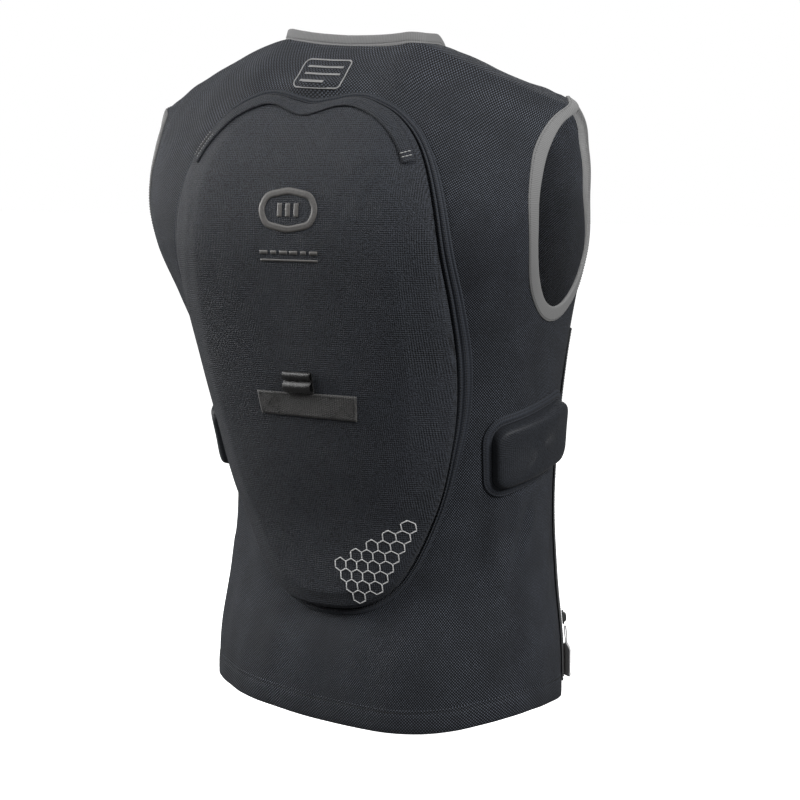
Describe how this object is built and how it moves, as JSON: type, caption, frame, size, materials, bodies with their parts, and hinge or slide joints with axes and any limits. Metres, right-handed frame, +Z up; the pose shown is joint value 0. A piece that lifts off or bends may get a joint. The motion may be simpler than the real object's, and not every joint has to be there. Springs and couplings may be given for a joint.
{
  "type": "protective vest",
  "caption": "Sleeveless knitted vest in its worn shape, with a soft back protector in a pocket, side pads, bound neck and armholes and a side zip.",
  "frame": {"origin": "on the line over the shoulders, midway between the sides of the neck, where the vest sits on the wearer", "axes": "+Z up along the body, +Y towards the back, -Y towards the front, -X towards the wearer's right"},
  "size_m": [0.4474, 0.2886, 0.6401],
  "materials": {
    "mesh_knit": "coarse open mesh knit, charcoal",
    "binding": "stretch binding, mid grey",
    "panel_weave": "fine plain weave over soft foam, near black",
    "border_tape": "narrow stitched tape, black",
    "strip_weave": "woven strip, grey brown, box stitched at both ends",
    "satin_tape": "folded satin tape, glossy black",
    "pad_cover": "smooth stretch cloth over foam, charcoal",
    "zip_tape": "zip tape with moulded coil, dark",
    "slider_plastic": "matt, dark grey",
    "pull_tape": "light grey cord and moulded tab"
  },
  "bodies": {
    "root": {"vest_body": "mesh_knit", "neck_binding": "binding", "armhole_binding_right": "binding", "armhole_binding_left": "binding", "back_protector": "panel_weave", "protector_border": "border_tape", "pocket_zip": "border_tape", "reflective_strip": "strip_weave", "tape_loop": "satin_tape", "hip_pad_right": "pad_cover", "hip_pad_left": "pad_cover", "hip_pad_border_right": "border_tape", "hip_pad_border_left": "border_tape", "side_zip": "zip_tape", "zip_slider": "slider_plastic", "zip_pull": "pull_tape"}
  },
  "joints": []
}
